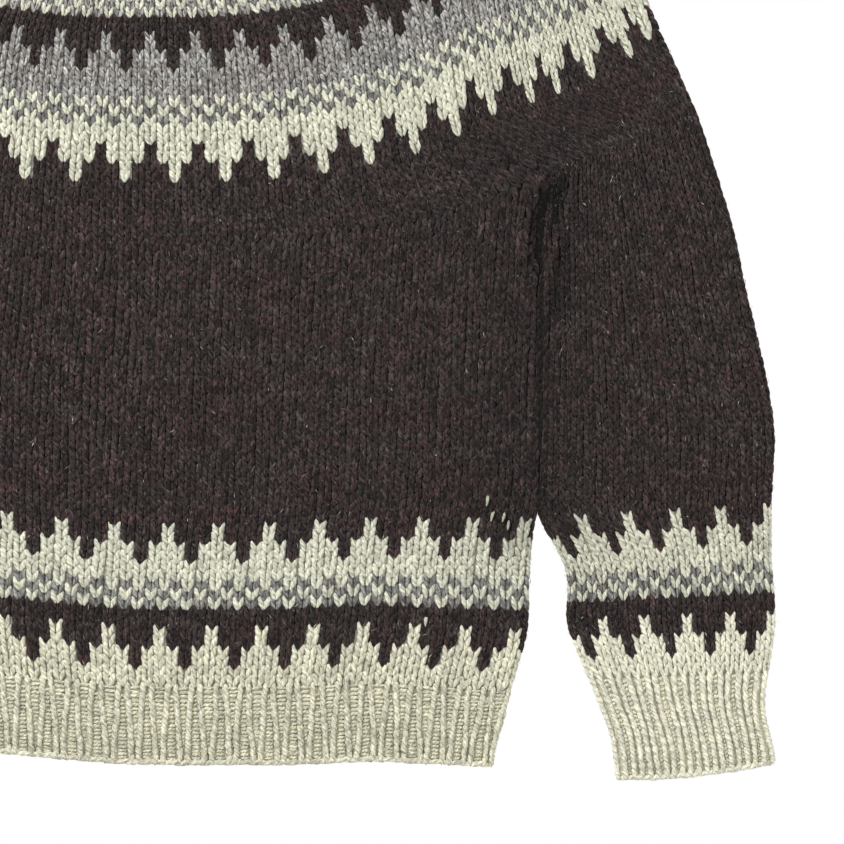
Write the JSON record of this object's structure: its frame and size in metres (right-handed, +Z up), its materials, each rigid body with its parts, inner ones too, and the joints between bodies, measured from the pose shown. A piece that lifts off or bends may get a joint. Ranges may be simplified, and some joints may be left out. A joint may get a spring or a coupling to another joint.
{
  "type": "round-yoke stranded wool jumper, laid flat",
  "caption": "Hand-knitted round-yoke wool jumper laid flat: dark brown body, cream ribbed hem and cuffs, and cream and grey zigzag and bird's-eye bands.",
  "frame": {"origin": "Centre of the bounding box at the bottom, on the surface that the jumper lies on", "axes": "+X to the wearer's left, +Y from hem to neck, +Z up from the surface"},
  "size_m": [0.735, 0.6111, 0.0139],
  "materials": {
    "wool_dark": "matte heathered dark brown bulky wool, stocking stitch",
    "wool_cream": "matte cream bulky wool, 1x1 rib",
    "wool_yoke": "matte stranded wool in cream, light grey, mid grey and dark brown"
  },
  "bodies": {
    "root": {"hem_rib": "wool_cream", "body": "wool_dark", "cuff_left": "wool_cream", "sleeve_left": "wool_dark", "cuff_right": "wool_cream", "sleeve_right": "wool_dark", "yoke": "wool_yoke", "neckband": "wool_cream"}
  },
  "joints": []
}
